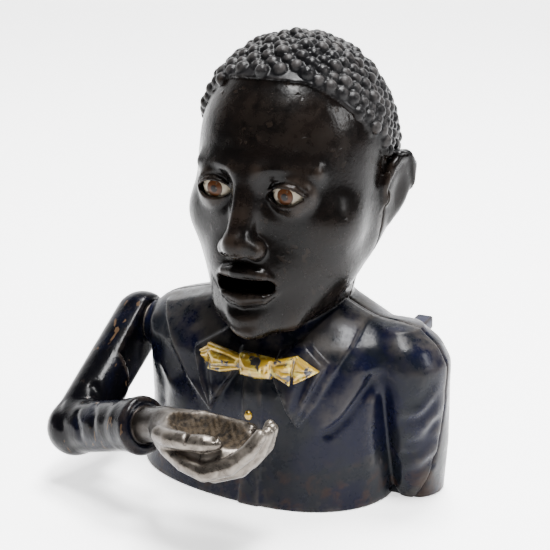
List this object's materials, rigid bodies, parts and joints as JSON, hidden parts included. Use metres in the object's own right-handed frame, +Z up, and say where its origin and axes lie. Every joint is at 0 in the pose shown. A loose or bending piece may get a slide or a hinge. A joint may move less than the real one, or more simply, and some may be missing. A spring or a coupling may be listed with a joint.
{
  "type": "mechanical bank",
  "caption": "Cast-iron mechanical coin bank: a bust whose arm lifts a coin to the mouth while the tongue dips and the eyes roll up.",
  "frame": {"origin": "middle of the hem on the table plane, on the head's middle plane and under the arm shaft", "axes": "+Z up, -Y the way the figure faces, +X towards the figure's left side, along the arm shaft"},
  "size_m": [0.1409, 0.1234, 0.17],
  "materials": {
    "black_iron": "worn gloss paint over cast iron",
    "navy_iron": "worn paint over cast iron",
    "base_iron": "as cast, black paint",
    "bare_iron": "as cast",
    "steel": "dull with age",
    "sheet_steel": "dull with age",
    "wire": "drawn",
    "eye_enamel": "enamel with a brown iris"
  },
  "bodies": {
    "bust": {"front_casting": "black_iron", "rear_casting": "black_iron", "base_plate": "base_iron", "base_screws": "steel", "case_screws": "steel", "coin_trap_screw": "steel"},
    "arm": {"arm_casting": "black_iron", "arm_shaft": "steel", "arm_pin": "steel", "shaft_washer": "sheet_steel", "operating_lever": "navy_iron", "lever_pin": "steel", "shaft_crank": "bare_iron", "crank_set_pin": "steel", "crank_pin": "steel"},
    "strap": {"drive_strap": "sheet_steel"},
    "tongue": {"tongue": "bare_iron", "tongue_pin": "steel", "tongue_rocker": "sheet_steel", "rocker_pin": "steel"},
    "eyes": {"eye_left": "eye_enamel", "eye_right": "eye_enamel", "eye_bar": "steel", "eye_crank": "bare_iron"},
    "wire": {"eye_wire": "wire"},
    "trap": {"coin_trap_cover": "sheet_steel"}
  },
  "joints": [
    {"name": "arm_swing", "type": "hinge", "parent": "bust", "child": "arm", "pos_m": [0, 0, 0.052], "axis": [-1, 0, 0], "range_deg": [0, 45]},
    {"name": "strap_turn", "type": "hinge", "parent": "arm", "child": "strap", "pos_m": [0, -0.00758, 0.04886], "axis": [1, 0, 0], "range_deg": [0, 45]},
    {"name": "tongue_dip", "type": "hinge", "parent": "bust", "child": "tongue", "pos_m": [0, -0.02, 0.082], "axis": [1, 0, 0], "range_deg": [0, 22.5]},
    {"name": "eye_roll", "type": "hinge", "parent": "bust", "child": "eyes", "pos_m": [0, -0.0305, 0.119], "axis": [-1, 0, 0], "range_deg": [0, 22.5]},
    {"name": "wire_turn", "type": "hinge", "parent": "eyes", "child": "wire", "pos_m": [0, -0.02535, 0.12002], "axis": [1, 0, 0], "range_deg": [0, 22.5]},
    {"name": "coin_trap_turn", "type": "hinge", "parent": "bust", "child": "trap", "pos_m": [-0.0019, -0.004, 0.0028], "axis": [0, 0, 1], "range_deg": [0, 150]}
  ],
  "couplings": [
    {"joint": "strap_turn", "follows": "arm_swing", "ratio": 1},
    {"joint": "tongue_dip", "follows": "arm_swing", "ratio": 0.5},
    {"joint": "eye_roll", "follows": "arm_swing", "ratio": 0.5},
    {"joint": "wire_turn", "follows": "arm_swing", "ratio": 0.5}
  ]
}
